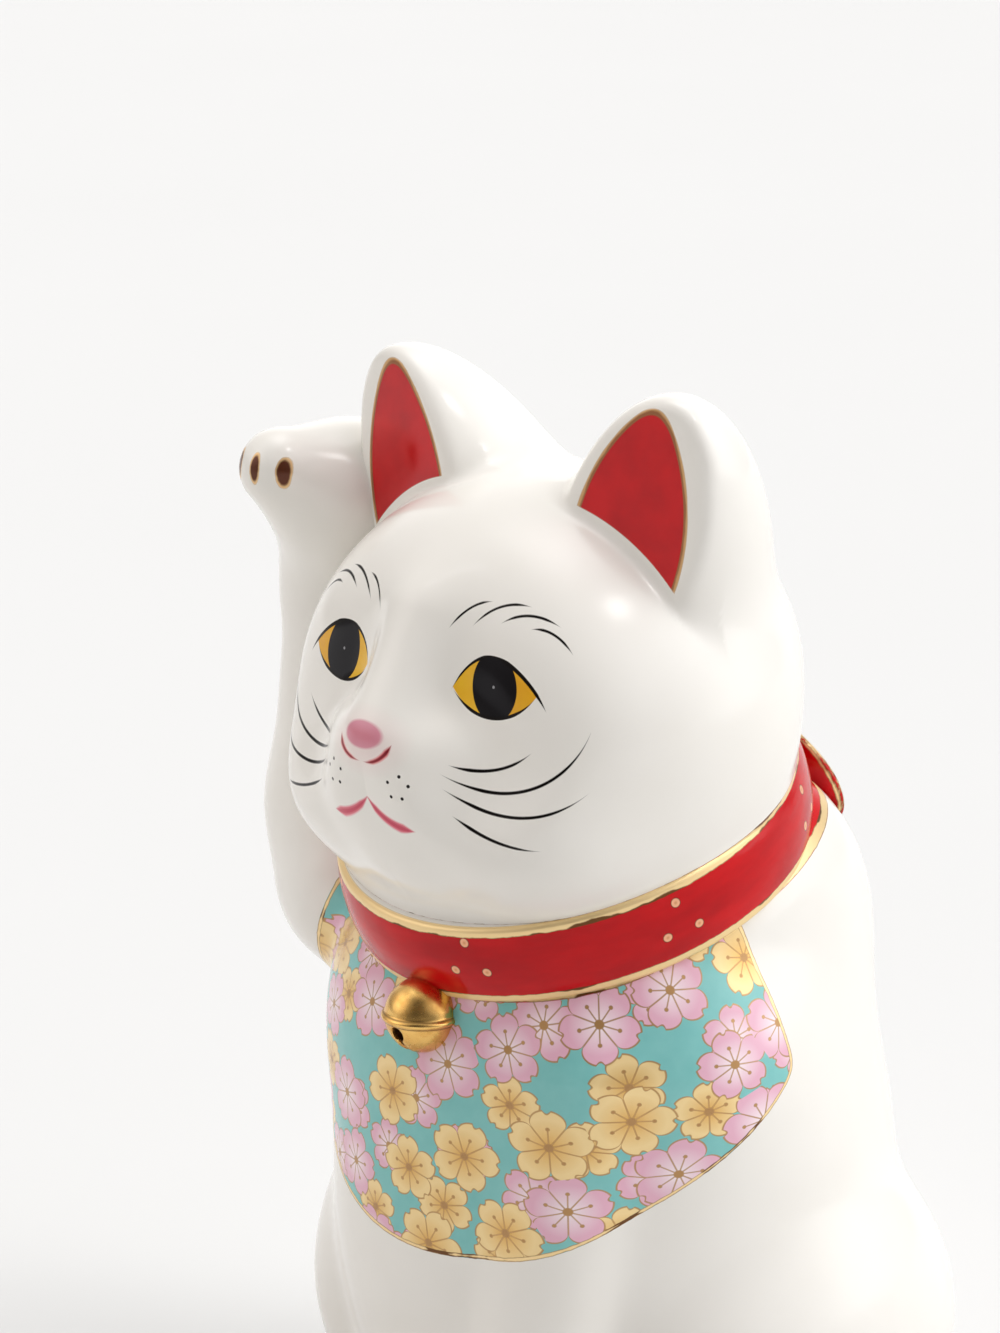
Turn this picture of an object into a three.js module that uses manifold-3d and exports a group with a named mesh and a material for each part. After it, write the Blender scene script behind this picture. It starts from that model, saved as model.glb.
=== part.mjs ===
// A porcelain lucky cat that sits up with its right paw raised, slip-cast in one piece.
// Millimetres, +Z up. The cat faces -Y, its right side is -X, and the origin is the middle of its flat underside.

import * as THREE from 'three';
import { mergeVertices } from 'three/addons/utils/BufferGeometryUtils.js';
import Module from 'manifold-3d';

const wasm = await Module();
wasm.setup();

// Places above the seat are measured from the middle of the neck. Turns are in degrees about X, then Y, then Z.
const NECK_MIDDLE = new THREE.Vector3(0, -8, 136);

// Collar: a glazed band around the neck, higher at the nape than at the throat
const COLLAR = { at: [0, -0.6, 3.7], radii: [46, 46.5], tilt: 20.5 };
const COLLAR_BAND = 16.6;
const COLLAR_CROWN = 1.2;
const COLLAR_DEPTH = 9;

// Neck: the solid middle that the collar, the head and the body close around
const NECK = { at: [0, -1, 3], radii: [42, 42, 26], turn: [20.5, 0, 0] };
const NAPE = { at: [0, 8, -6], radii: [44, 38, 20], turn: [20, 0, 0] };

// Head: an egg with a nearly flat front
const HEAD = { at: [0, -7.3, 30.1], radii: [49.3, 48.9, 45.3], turn: [13.6, 0, 0] };
const FACE_FRONT = { at: [0, -43, 43], lean: 2.5 };
const CHEEK = { at: [18.2, -30, 17.1], radii: [20.1, 19.9, 16.5] };
const MUZZLE = { at: [0, -40.2, 20], radii: [14, 13.9, 17] };
const WHISKER_PAD = { at: [8.6, -44, 25], radii: [11, 11, 11] };
const NOSE_BRIDGE = { from: [0, -38.3, 51.6], to: [0, -49, 32.5], radii: [7, 7] };

// Ears: a steep egg, cut flat where the red lining faces forwards
const EAR = { at: [20.2, 0.5, 51.7], radii: [20.8, 21.7, 48], turn: [17.9, 23.3, 0] };
const LINING_INNER = [18.5, -18.6, 72.5];
const LINING_OUTER = [38.5, -15.6, 60.9];
const LINING_TIP = [33.1, -15.8, 91.4];

// Raised right foreleg, from its root at the shoulder to the tip of the bent paw
const UPPER_ARM = { from: [-51, -4, -16], to: [-57, 0, -3], radii: [21, 20.5] };
const FOREARM = { from: [-57, 0, -3], to: [-60.5, -2, 43], radii: [20.5, 13] };
const WRIST = { from: [-60.5, -2, 43], to: [-54.5, -8, 61], radii: [13, 14.5] };
const PAW = { from: [-54.5, -8, 61], to: [-57, -24, 69], radii: [14.5, 8] };
const ARM_CORE = { at: [-58.5, -1.5, 22], radii: [17, 17, 45] };
const PAW_CORE = { at: [-55.5, -15, 65], radii: [12, 18, 12], turn: [-26, 0, 0] };

const SHOULDER = { at: [21.4, 19.7, -16.5], radii: [23.5, 32.3, 33.4] };
const CHEST = { at: [0, -4, -36], radii: [52, 38, 42] };
const BELL = { at: [0, -41.5, -24], radius: 7.2 };
const BOW_KNOT = { at: [0, 47, 15], radii: [5.5, 5, 7.5], turn: [20.5, 0, 0] };
const BOW_LOOP = { at: [14.1, 46.7, 8.9], radii: [14.3, 3, 10], turn: [21.4, 24.6, 0] };
const BOW_TAIL = { at: [9, 50.5, -8], radii: [7, 3, 19], turn: [-4, -20, -12] };

// Seated body below: places are measured from the middle of the underside
const BODY_BOTTOM = -4;
const BODY_TOP = 148;
const BELLY = { at: [0, 3, 66], radii: [56, 55, 82] };
const SEAT = { at: [0, 3, 16], radii: [56, 52, 32] };
const HAUNCH = { at: [38, 8, 40], radii: [28, 44, 40] };
const HIND_FOOT = { at: [38, -34, 9], radii: [14, 24, 12.5], turn: [0, 0, -8] };
const FORELEG = { from: [25, -30, 102], to: [20, -42, 14], radii: [17, 13.5] };
const FORELEG_CORE = { at: [22, -36, 58], radii: [16, 16, 60], turn: [-8, -4, 0] };
const FOREPAW = { at: [20, -48, 9], radii: [14.5, 17, 12] };
const TAIL = { from: [12, 50, 13], to: [36, 44, 34], radii: [12, 9] };
const TAIL_CORE = { at: [24, 47, 24], radii: [22, 11, 11], turn: [0, -38, -14] };

// How widely one form runs into the next
const BLEND = {
  skull: 13, muzzle: 17, pads: 7, lining: 3, shoulders: 16, chest: 14, nape: 8, seat: 10, arm: 10,
};

const ORIGIN = new THREE.Vector3();
const GROUND_SIZE = 400;
const REACH = 110;
const STRIDE = 0.5;
const HALVINGS = 22;

// A form is a function of a point: negative inside, positive outside, and zero on the skin.

function turned([aboutX, aboutY, aboutZ] = [0, 0, 0]) {
  const radians = [aboutX, aboutY, aboutZ].map(THREE.MathUtils.degToRad);
  return new THREE.Quaternion().setFromEuler(new THREE.Euler(...radians, 'ZYX'));
}

function egg({ at, radii, turn }, origin = ORIGIN) {
  const centre = new THREE.Vector3(...at).add(origin);
  const back = turned(turn).invert();
  const size = new THREE.Vector3(...radii);
  const local = new THREE.Vector3();
  return (point) => {
    local.copy(point).sub(centre).applyQuaternion(back).divide(size);
    const depth = local.length();
    const slope = Math.max(local.divide(size).length(), 1e-9);
    return (depth * (depth - 1)) / slope;
  };
}

function taper({ from, to, radii }, origin = ORIGIN) {
  const start = new THREE.Vector3(...from).add(origin);
  const bone = new THREE.Vector3(...to).add(origin).sub(start);
  const local = new THREE.Vector3();
  return (point) => {
    local.copy(point).sub(start);
    const along = THREE.MathUtils.clamp(local.dot(bone) / bone.lengthSq(), 0, 1);
    return local.addScaledVector(bone, -along).length() - THREE.MathUtils.lerp(...radii, along);
  };
}

function pair(form) {
  const folded = new THREE.Vector3();
  return (point) => form(folded.set(Math.abs(point.x), point.y, point.z));
}

function blended(forms, width) {
  return (point) => forms.map((form) => form(point)).reduce((a, b) => {
    const overlap = Math.max(width - Math.abs(a - b), 0) / width;
    return Math.min(a, b) - (overlap ** 3 * width) / 6;
  });
}

function hollowed(form, hollow, width) {
  const solid = blended([(point) => -form(point), hollow], width);
  return (point) => -solid(point);
}

// The outermost point of the form's skin on the way out from a point inside it
function skinPoint(form, start, way) {
  const point = new THREE.Vector3();
  const depthAt = (span) => form(point.copy(start).addScaledVector(way, span));
  let inner = REACH;
  let outer = REACH;
  for (let depth = depthAt(inner); depth > 0 && inner > 0; depth = depthAt(inner)) {
    outer = inner;
    inner -= Math.max(depth * 0.7, STRIDE);
  }
  for (let k = 0; k < HALVINGS; k += 1) {
    const middle = (inner + outer) / 2;
    if (depthAt(middle) < 0) inner = middle;
    else outer = middle;
  }
  depthAt((inner + outer) / 2);
  return point;
}

// A ball whose points leave its centre, stretched and turned like an egg, and stop at the form's skin
function skinFromCentre(form, { at, radii, turn }, origin, around, along) {
  const ball = new THREE.SphereGeometry(1, around, along).rotateX(Math.PI / 2);
  const position = ball.getAttribute('position');
  const centre = new THREE.Vector3(...at).add(origin);
  const way = new THREE.Vector3();
  for (let i = 0; i < position.count; i += 1) {
    way.fromBufferAttribute(position, i).multiply(new THREE.Vector3(...radii));
    way.applyQuaternion(turned(turn)).normalize();
    position.setXYZ(i, ...skinPoint(form, centre, way));
  }
  return ball;
}

// A column with flat ends whose level rings widen to the form's skin
function skinAroundAxis(form, bottom, top, around, levels) {
  const column = new THREE.CylinderGeometry(1, 1, top - bottom, around, levels).rotateX(Math.PI / 2);
  column.translate(0, 0, (bottom + top) / 2);
  const position = column.getAttribute('position');
  const way = new THREE.Vector3();
  for (let i = 0; i < position.count; i += 1) {
    way.fromBufferAttribute(position, i);
    const axis = new THREE.Vector3(0, 0, way.z);
    if (way.setZ(0).length() < 0.5) continue;
    position.setXYZ(i, ...skinPoint(form, axis, way.normalize()));
  }
  return column;
}

function bodyShell() {
  const trunk = blended([egg(BELLY), pair(egg(SHOULDER, NECK_MIDDLE))], BLEND.shoulders);
  const chested = blended([trunk, egg(CHEST, NECK_MIDDLE)], BLEND.chest);
  const naped = blended([chested, egg(NAPE, NECK_MIDDLE)], BLEND.nape);
  const seated = blended([naped, egg(SEAT), pair(egg(HAUNCH))], BLEND.seat);
  return skinAroundAxis(seated, BODY_BOTTOM, BODY_TOP, 46, 26);
}

function legShells() {
  return [
    skinFromCentre(taper(FORELEG), FORELEG_CORE, ORIGIN, 18, 16),
    skinFromCentre(taper(TAIL), TAIL_CORE, ORIGIN, 16, 12),
    ...[FOREPAW, HIND_FOOT].map((shape) => roundShape(shape, ORIGIN)),
    mirrored(roundShape(HIND_FOOT, ORIGIN)),
  ];
}

// The eyes lie on a nearly flat front, and the cheeks, the muzzle and the bridge of the nose swell out of it
function headShell() {
  const outward = new THREE.Vector3(0, -1, 0).applyQuaternion(turned([-FACE_FRONT.lean, 0, 0]));
  const throughEyes = new THREE.Vector3(...FACE_FRONT.at).add(NECK_MIDDLE);
  const front = new THREE.Plane().setFromNormalAndCoplanarPoint(outward, throughEyes);
  const skull = hollowed(egg(HEAD, NECK_MIDDLE), (point) => -front.distanceToPoint(point), BLEND.skull);
  const cheeks = blended([skull, pair(egg(CHEEK, NECK_MIDDLE))], BLEND.skull);
  const muzzle = blended([cheeks, egg(MUZZLE, NECK_MIDDLE)], BLEND.muzzle);
  const pads = blended([muzzle, pair(egg(WHISKER_PAD, NECK_MIDDLE))], BLEND.pads);
  const face = blended([pads, taper(NOSE_BRIDGE, NECK_MIDDLE)], BLEND.skull);
  return skinFromCentre(face, HEAD, NECK_MIDDLE, 44, 30);
}

function earShell(side) {
  const [inner, outer, tip] = [LINING_INNER, LINING_OUTER, LINING_TIP]
    .map((corner) => new THREE.Vector3(...corner).add(NECK_MIDDLE));
  const lining = new THREE.Plane().setFromCoplanarPoints(inner, outer, tip);
  const form = hollowed(egg(EAR, NECK_MIDDLE), (point) => -lining.distanceToPoint(point), BLEND.lining);
  const ear = skinFromCentre(form, EAR, NECK_MIDDLE, 20, 15);
  return side > 0 ? ear : mirrored(ear);
}

function armShells() {
  const arm = [UPPER_ARM, FOREARM, WRIST].map((bone) => taper(bone, NECK_MIDDLE));
  return [
    skinFromCentre(blended(arm, BLEND.arm), ARM_CORE, NECK_MIDDLE, 20, 18),
    skinFromCentre(taper(PAW, NECK_MIDDLE), PAW_CORE, NECK_MIDDLE, 18, 12),
  ];
}

function collarBand() {
  const half = COLLAR_BAND / 2;
  const [wide, deep] = COLLAR.radii;
  const crown = Array.from({ length: 5 }, (_, i) => {
    const height = THREE.MathUtils.lerp(-half, half, i / 4);
    return new THREE.Vector2(wide - COLLAR_CROWN * (height / half) ** 2, height);
  });
  const lowest = new THREE.Vector2(wide - COLLAR_DEPTH, -half);
  const highest = new THREE.Vector2(wide - COLLAR_DEPTH, half);
  const band = new THREE.LatheGeometry([lowest, ...crown, highest, lowest], 44).rotateX(Math.PI / 2);
  band.scale(1, deep / wide, 1).rotateX(THREE.MathUtils.degToRad(COLLAR.tilt));
  return band.translate(...COLLAR.at).translate(...NECK_MIDDLE);
}

function bellBall() {
  return new THREE.SphereGeometry(BELL.radius, 20, 14).translate(...BELL.at).translate(...NECK_MIDDLE);
}

function roundShape({ at, radii, turn }, origin = NECK_MIDDLE) {
  const shape = new THREE.SphereGeometry(1, 14, 10).scale(...radii).applyQuaternion(turned(turn));
  return shape.translate(...at).translate(...origin);
}

function bowParts() {
  const [loop, tail] = [BOW_LOOP, BOW_TAIL].map((shape) => roundShape(shape));
  return [roundShape(BOW_KNOT), loop, tail, mirrored(loop), mirrored(tail)];
}

function mirrored(geometry) {
  const copy = geometry.clone().scale(-1, 1, 1);
  const index = copy.getIndex();
  for (let i = 0; i < index.count; i += 3) {
    const first = index.getX(i);
    index.setX(i, index.getX(i + 1));
    index.setX(i + 1, first);
  }
  return copy;
}

function toSolid(geometry) {
  const bare = geometry.clone();
  bare.deleteAttribute('normal');
  bare.deleteAttribute('uv');
  const merged = mergeVertices(bare, 1e-4);
  const mesh = new wasm.Mesh({
    numProp: 3,
    vertProperties: merged.getAttribute('position').array,
    triVerts: Uint32Array.from(merged.getIndex().array),
  });
  return new wasm.Manifold(mesh);
}

function toGeometry(solid) {
  const { vertProperties, triVerts } = solid.getMesh();
  const geometry = new THREE.BufferGeometry();
  geometry.setAttribute('position', new THREE.BufferAttribute(vertProperties, 3));
  geometry.setIndex(new THREE.BufferAttribute(triVerts, 1));
  geometry.computeVertexNormals();
  return geometry;
}

const shapes = [
  bodyShell(), ...legShells(), roundShape(NECK), headShell(), earShell(-1), earShell(1), ...armShells(),
  collarBand(), bellBall(), ...bowParts(),
];
const ground = new THREE.BoxGeometry(GROUND_SIZE, GROUND_SIZE, GROUND_SIZE).translate(0, 0, -GROUND_SIZE / 2);
const casting = shapes.map(toSolid).reduce((whole, piece) => whole.add(piece)).subtract(toSolid(ground));

const porcelain = new THREE.MeshStandardMaterial({ color: 0xf3f1ec, roughness: 0.12, metalness: 0 });
const cat = new THREE.Mesh(toGeometry(casting), porcelain);
cat.name = 'lucky_cat';

const figurine = new THREE.Group();
figurine.name = 'lucky_cat_figurine';
figurine.add(cat);

export default figurine;
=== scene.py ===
import math

import bpy
import numpy as np
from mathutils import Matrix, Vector


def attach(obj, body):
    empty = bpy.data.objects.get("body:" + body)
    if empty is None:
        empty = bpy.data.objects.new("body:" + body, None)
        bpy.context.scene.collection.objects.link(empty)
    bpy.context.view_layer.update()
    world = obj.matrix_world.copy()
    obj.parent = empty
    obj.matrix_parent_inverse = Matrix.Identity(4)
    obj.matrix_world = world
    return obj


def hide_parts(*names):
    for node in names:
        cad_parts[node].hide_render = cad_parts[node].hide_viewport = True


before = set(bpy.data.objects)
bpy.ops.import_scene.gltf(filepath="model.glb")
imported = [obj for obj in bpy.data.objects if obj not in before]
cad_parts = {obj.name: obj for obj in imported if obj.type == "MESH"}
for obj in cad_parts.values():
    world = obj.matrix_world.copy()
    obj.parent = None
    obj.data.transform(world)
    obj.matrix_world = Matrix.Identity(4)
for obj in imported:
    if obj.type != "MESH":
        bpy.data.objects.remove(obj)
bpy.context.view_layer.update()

NODE = "lucky_cat"
BODY = "root"
MM = 0.001

# Sizes in millimetres, as on the figurine: the cat faces -Y, its right side is -X, and the ground is Z = 0
NECK_MIDDLE = np.array((0.0, -8.0, 136.0))

# Places on the collar, the head, the arm and the shoulders are measured from the middle of the neck
COLLAR_AT, COLLAR_RADIUS, COLLAR_TILT = (0, -0.6, 3.7), 46.0, 20.5
COLLAR_STRETCH = 1.011
COLLAR_BAND = 16.6
COLLAR_CROWN = 1.2
COLLAR_DEPTH = 9.0
COLLAR_EDGE = 1.1
COLLAR_BACK_STEP = 0.3
HEAD_AT, HEAD_RADII, HEAD_TURN = (0, -7.3, 30.1), (49.3, 48.9, 45.3), (13.6, 0, 0)
FACE_FRONT_AT, FACE_LEAN = (0, -43.2, 43), 2.5
BACK_FACING, BACK_REACH = (0.722, 0.686, -0.093), 41
HOLLOW_AT, HOLLOW_RADII = (31.5, -67, 29.4), (22, 22, 22)
CHEEK_AT, CHEEK_RADII = (18.2, -30, 17.1), (20.1, 19.9, 16.5)
MUZZLE_AT, MUZZLE_RADII = (0, -40.2, 20), (14, 13.9, 17)
PAD_AT, PAD_RADII = (8.6, -44, 25), (11, 11, 11)
BRIDGE_TOP, BRIDGE_TIP, BRIDGE_RADII = (0, -38.3, 51.6), (0, -49, 32.5), (7, 7)
EAR_AT, EAR_RADII, EAR_TURN = (20.2, 0.5, 51.7), (20.8, 21.7, 48), (17.9, 23.3, 0)
LINING_INNER, LINING_OUTER, LINING_TIP = (18.5, -18.6, 72.5), (38.5, -15.6, 60.9), (33.1, -15.8, 91.4)
ARM_BONES = (
    ((-51, -4, -16), (-57, 0, -3), (21, 20.5)),
    ((-57, 0, -3), (-60.5, -2, 43), (20.5, 13)),
    ((-60.5, -2, 43), (-54.5, -8, 61), (13, 14.5)),
    ((-54.5, -8, 61), (-57, -24, 69), (14.5, 8)),
)
SHOULDER_AT, SHOULDER_RADII = (21.4, 19.7, -16.5), (23.5, 32.3, 33.4)
CHEST_AT, CHEST_RADII = (0, -4, -36), (52, 38, 42)
NECK_AT, NECK_RADII, NECK_TURN = (0, -1, 3), (42, 42, 26), (20.5, 0, 0)
NAPE_AT, NAPE_RADII, NAPE_TURN = (0, 8, -6), (44, 38, 20), (20, 0, 0)
THROAT_AT, THROAT_RADII = (0, -2, 8.4), (44, 44.5, 14)
BELL_AT, BELL_RADIUS = (0, -41.5, -24), 7.2
BELL_BAND, BELL_SLIT, BELL_HOLE, BELL_HOLE_DROP, BELL_WALL = 0.6, 0.7, 1.4, 2.4, 2.2
KNOT_AT, KNOT_RADII, KNOT_TURN = (0, 47, 15), (5.5, 5, 7.5), (20.5, 0, 0)
BOW_LOOP_AT, BOW_LOOP_RADII, BOW_LOOP_TURN = (14.1, 46.7, 8.9), (14.3, 2.6, 10), (21.4, 24.6, 0)
BOW_TAIL_AT, BOW_TAIL_RADII, BOW_TAIL_TURN = (9, 50.5, -8), (7, 3, 19), (-4, -20, -12)
BOW_FOLD, BOW_FOLDS, BOW_FOLD_REACH = 0.9, 13, 9

# Places on the seated body are measured from the middle of the underside
BELLY_AT, BELLY_RADII = (0, 3, 66), (56, 55, 82)
SEAT_AT, SEAT_RADII = (0, 3, 16), (56, 52, 32)
HAUNCH_AT, HAUNCH_RADII = (38, 8, 40), (28, 44, 40)
HIND_FOOT_AT, HIND_FOOT_RADII, HIND_FOOT_TURN = (38, -34, 9), (14, 24, 12.5), (0, 0, -8)
FORELEG_TOP, FORELEG_END, FORELEG_RADII = (25, -30, 102), (20, -42, 14), (17, 13.5)
FOREPAW_AT, FOREPAW_RADII = (20, -48, 9), (14.5, 17, 12)
TAIL_ROOT, TAIL_END, TAIL_RADII = (12, 50, 13), (36, 44, 34), (12, 9)

# How wide the fillet is where a form joins the ones before it, and where a form is cut
WIDTH = {
    "front": 16, "back": 8, "cheek": 13, "muzzle": 17, "pad": 7, "bridge": 13, "hollow": 8,
    "lining": 3, "ear": 2.5, "ear_behind": 9, "throat": 5,
    "shoulder": 16, "chest": 14, "nape": 8, "seat": 10, "haunch": 10, "foreleg": 5, "forepaw": 4,
    "hind_foot": 4, "tail": 3, "neck": 2, "arm_bone": 9, "arm": 8, "ground": 1.5,
    "bell_band": 1, "bell_slit": 0.5, "bow": 2,
}

# The space that each form is sampled in, and how finely
HEAD_SPACE, HEAD_CELL = ((-58, -70, 114), (58, 48, 234)), 0.95
BODY_SPACE, BODY_CELL = ((-85, -72, -3), (72, 66, 216)), 1.35
BOW_SPACE, BOW_CELL = ((-36, 28, 106), (36, 48, 162)), 0.6
BELL_SPACE, BELL_CELL = ((-9, -59, 103), (9, -40, 121)), 0.4
COLLAR_STEPS, COLLAR_RISE_STEPS, COLLAR_EDGE_STEPS = 320, 15, 6

# Paints: colours as they are picked on a screen, how rough they are, and how much like metal
GLAZE, GLAZE_SHADE, GLAZE_ROUGH = "f2efe9", "eae6de", 0.1
GLAZE_IOR, ENAMEL_IOR, LUSTRE_IOR = 1.4, 1.3, 1.5
BISCUIT, BISCUIT_SHADE, BISCUIT_TOP = "d9cdbb", "b9a88e", 0.4
RED, RED_SHADE, RED_ROUGH = "cb0a12", "a4060e", 0.12
# The second gold colour is brown, a painted dark reflection along the gold edges
GOLD, GOLD_DARK_REFLECTION, GOLD_ROUGH, GOLD_METAL, GOLD_EDGE_METAL = "f6d8a0", "6b4522", 0.34, 0.45, 0.4
INK, INK_ROUGH, INK_METAL = "14100f", 0.15, 0.6
PINK_ROUGH = 0.12
BLUSH, NOSE, NOSE_SHADE = "e8b4b6", "d68f9f", "cd7584"
EYE, EYE_SHADE, EYE_SIDE = "ecb92f", "dd9a22", "dd9718"
PUPIL, PUPIL_GLINT, PUPIL_ROUGH = "19171a", "8f8f92", 0.1
LINING_GOLD, LINING_GOLD_SHADE, LINING_METAL = "cba06c", "96633f", 0.15
# The brown in the middle of the toe marks is a painted dark reflection in the gold
TOE_GOLD, TOE_DARK_REFLECTION = "dfb986", "5b2f1c"
DOT_RIM, DOT, DOT_MIDDLE = "6d0a10", "eeb48c", "d9976c"
BIB_BLUE, BIB_BLUE_SHADE = "8acac6", "76bcb9"
PETAL, PETAL_HEART, GILT_PETAL, GILT_HEART = "e6b3c6", "f6e6ea", "f4d79c", "e2b264"
BLOSSOM_LINE = "b48a58"
# The brown lustre colour is painted shade beside the bell's band and inside its slit
LUSTRE, LUSTRE_SHADE, LUSTRE_PAINTED_SHADE = "f0c374", "d69f52", "5a3a18"
FLOOR, FLOOR_SHADE, FLOOR_ROUGH = "dadad9", "d6d6d5", 0.9

# Marks on the face, across it and up it from the middle of the head
FACE_WRAP = 48
BROW_WIDTH = 0.43
BROWS = (
    ((12.2, 22.9), (16.6, 26.3), (22.1, 27.9)),
    ((18.5, 23.8), (24.5, 27.1), (32.0, 27.8)),
    ((26.0, 24.8), (32.3, 26.3), (38.7, 25.0)),
    ((33.2, 24.2), (37.8, 23.5), (41.3, 20.7)),
)
WHISKER_WIDTH = 0.54
WHISKERS = (
    ((17.4, -0.8), (24.5, -1.4), (32.9, 2.3)),
    ((16.7, -2.8), (29.5, -4.7), (43.8, 6.0)),
    ((17.0, -5.4), (29.5, -8.8), (42.7, -4.5)),
    ((18.7, -10.0), (25.8, -13.0), (34.7, -14.3)),
)
WHISKER_DOTS = ((8.5, -3.1), (6.1, -4.5), (10.3, -4.7), (6.7, -7.2), (9.1, -7.2))
WHISKER_DOT_RADIUS = 0.33
LID_INNER, LID_OUTER, LID_TAIL = (14.2, 12.2), (33.5, 11.9), (36.1, 10.6)
LID_RISE, LID_TOP, LID_FALL, LID_LOW = (18.3, 16.6), (24.6, 18.8), (30.8, 16.3), (24.3, 7.7)
LOWER_LID_START = (14.8, 11.3)
EYE_SIDE_FROM = 25
PUPIL_AT, PUPIL_RADII, GLINT_RADII = (24.6, 13.3), (5.5, 6.2), (0.28, 0.28)
BLUSH_AT, BLUSH_RADII = (0, 2.0), (7.0, 4.5)
NOSE_AT, NOSE_RADII = (0, 3.4), (4.5, 2.5)
NOSE_SHADE_AT, NOSE_SHADE_RADII = (0.8, 3.2), (2.8, 1.3)
NOSTRIL = ((6.4, 2.1), (4.5, -0.3), (1.2, -1.6))
MOUTH = ((0.1, -8.8), (4.3, -12.1), (10.5, -13.6))

# The nostrils and the mouth are brushed twice: how wide, in what colour, and how soft its edge is
NOSTRIL_STROKES = ((0.95, "dc555c", 0.5), (0.5, "7a1420", 0.3))
MOUTH_STROKES = ((1.7, "e27f8d", 0.45), (0.95, "c8465c", 0.5))

# The red lining of the left ear, from its inner corner across and up
LINING_INNER_SIDE = ((0, 0), (-0.7, 11), (1.8, 22))
LINING_OUTER_SIDE = ((8.5, 23.6), (17, 15), (23.5, -0.5))
LINING_LOWER_SIDE = ((-0.5, 0), (11, 1.4), (24, -0.8))
LINING_ROUND, LINING_REACH, LINING_FOOT = 9, 1.4, -4
LINING_EDGE = 0.9

# The bib, round the chest and up from the ground. Its side edge runs through a place that is given back and up.
BIB_SIDE_AT, BIB_SIDE_SLOPE = (-8.8, 129.6), 0.2
BIB_LOW, BIB_LOW_RISE = 66, 0.0085
BIB_WRAP, BIB_AXIS = 42, -4
BIB_ARM_AT, BIB_ARM_FACING = (-43.5, 0, 123.5), (-0.91, 0, 0.41)
BIB_TOP = 150
BIB_ROUND = 5
BIB_EDGE = 0.8

# Two layers of blossoms: how far apart, how large, how the grid is turned, and what shares are there and gilt
BLOSSOM_LAYERS = ((13.7, 6.2, 63, 0.8, 0.5), (14.8, 7.3, 24, 0.95, 0.35))
PETALS = 5
PETAL_EDGE_HALF, SEAM_HALF, STAMEN_HALF, ANTHER_RADIUS, BLOSSOM_EYE_RADIUS = 0.14, 0.11, 0.1, 0.34, 0.8
STAMEN_REACH = 0.5

# The toe marks, from the middle of the underside. Those on the hind feet are on both sides.
RAISED_TOES = ((-50.8, -36.8, 205.8), (-55.9, -39.5, 206.3), (-61.0, -37.6, 206.3))
STANDING_TOES = ((14.0, -63.5, 10.5), (20.0, -65.2, 11.0), (26.0, -63.5, 10.5))
HIND_TOES = ((34.5, -57.0, 10.5), (40.5, -57.6, 11.0), (46.0, -55.0, 10.5))
TOE_HALF_WIDTH, TOE_HALF_DEPTH, RAISED_TOE_HALF_HEIGHT, TOE_HALF_HEIGHT = 1.2, 3.0, 3.2, 2.8
TOE_GOLD_SHARE = 0.22

# Gold on the collar and the bow
COLLAR_TOP_GOLD, COLLAR_LOW_GOLD, COLLAR_RIM_GOLD = 1.6, 2.1, 2.2
COLLAR_OVERLAP, COLLAR_ARM_SIDE = 1.8, -42
BOW_RIM_AT, BOW_RIM_HALF = 0.97, 0.22

# Dots in groups of three, evenly round the collar: the first group's angle, and the step to the next
DOTS_FIRST, DOTS_STEP, DOTS_SINK = 17.2, 360 / 7, 0.02
DOTS_UP, DOTS_APART, DOT_RADIUS, DOT_RIM_WIDTH, DOT_RING_WIDTH = 6.1, 3.3, 0.85, 0.15, 0.55

# How high the paint or the glaze waves on each piece
GLAZE_RELIEF, COLLAR_RELIEF, BOW_RELIEF, BELL_RELIEF = 0.06, 0.12, 0.1, 0.04

# The camera, and where the photo shows the middle of the neck, in its own pixels
PHOTO_SIZE = (1000, 1333)
NECK_IN_PHOTO = (577, 845)
PIXELS_PER_MM = 5.2
FOCAL_PIXELS = 4443
SENSOR_WIDTH = 36
VIEW_AZIMUTH, VIEW_ELEVATION = 45, 15

# Soft light from all round: where each light comes from, how narrow it is, and its colour.
# The last two are the lamps that show as highlights.
# The photo looks along (-1, 1), and its right is toward (1, 1).
SKY = (
    ((-0.1, 0.1, 0.99), 16, (4.3, 4.3, 4.3)),
    ((-0.68, 0.68, 0.27), 4, (1.34, 1.33, 1.32)),
    ((0.75, 0.65, 0.05), 12, (2.46, 2.47, 2.50)),
    ((0.6, 0.5, 0.6), 12, (2.95, 2.97, 3.00)),
    ((0.8, 0.1, 0.6), 8, (0.83, 0.82, 0.86)),
    ((-0.6, -0.6, 0.5), 8, (1.93, 1.83, 1.77)),
    ((0.71, -0.71, 0), 2, (0.12, 0.11, 0.10)),
    ((0.48, 0.05, 0.87), 220, (10.5, 10.5, 10.5)),
    ((-0.40, -0.45, 0.80), 900, (2.7, 2.7, 2.7)),
)
FLOOR_REACH = 8.0


def from_neck(place):
    return NECK_MIDDLE + place


# Forms: each gives a depth for every point, negative inside and zero on the skin

def turn_matrix(turn):
    x, y, z = np.radians(turn)
    about_x = np.array(((1, 0, 0), (0, np.cos(x), -np.sin(x)), (0, np.sin(x), np.cos(x))))
    about_y = np.array(((np.cos(y), 0, np.sin(y)), (0, 1, 0), (-np.sin(y), 0, np.cos(y))))
    about_z = np.array(((np.cos(z), -np.sin(z), 0), (np.sin(z), np.cos(z), 0), (0, 0, 1)))
    return about_z @ about_y @ about_x


def egg(points, at, radii, turn=(0, 0, 0)):
    radii = np.array(radii, float)
    local = (points - np.array(at, float)) @ turn_matrix(turn) / radii
    depth = np.linalg.norm(local, axis=1)
    slope = np.linalg.norm(local / radii, axis=1)
    return depth * (depth - 1) / np.maximum(slope, 1e-9)


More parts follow.
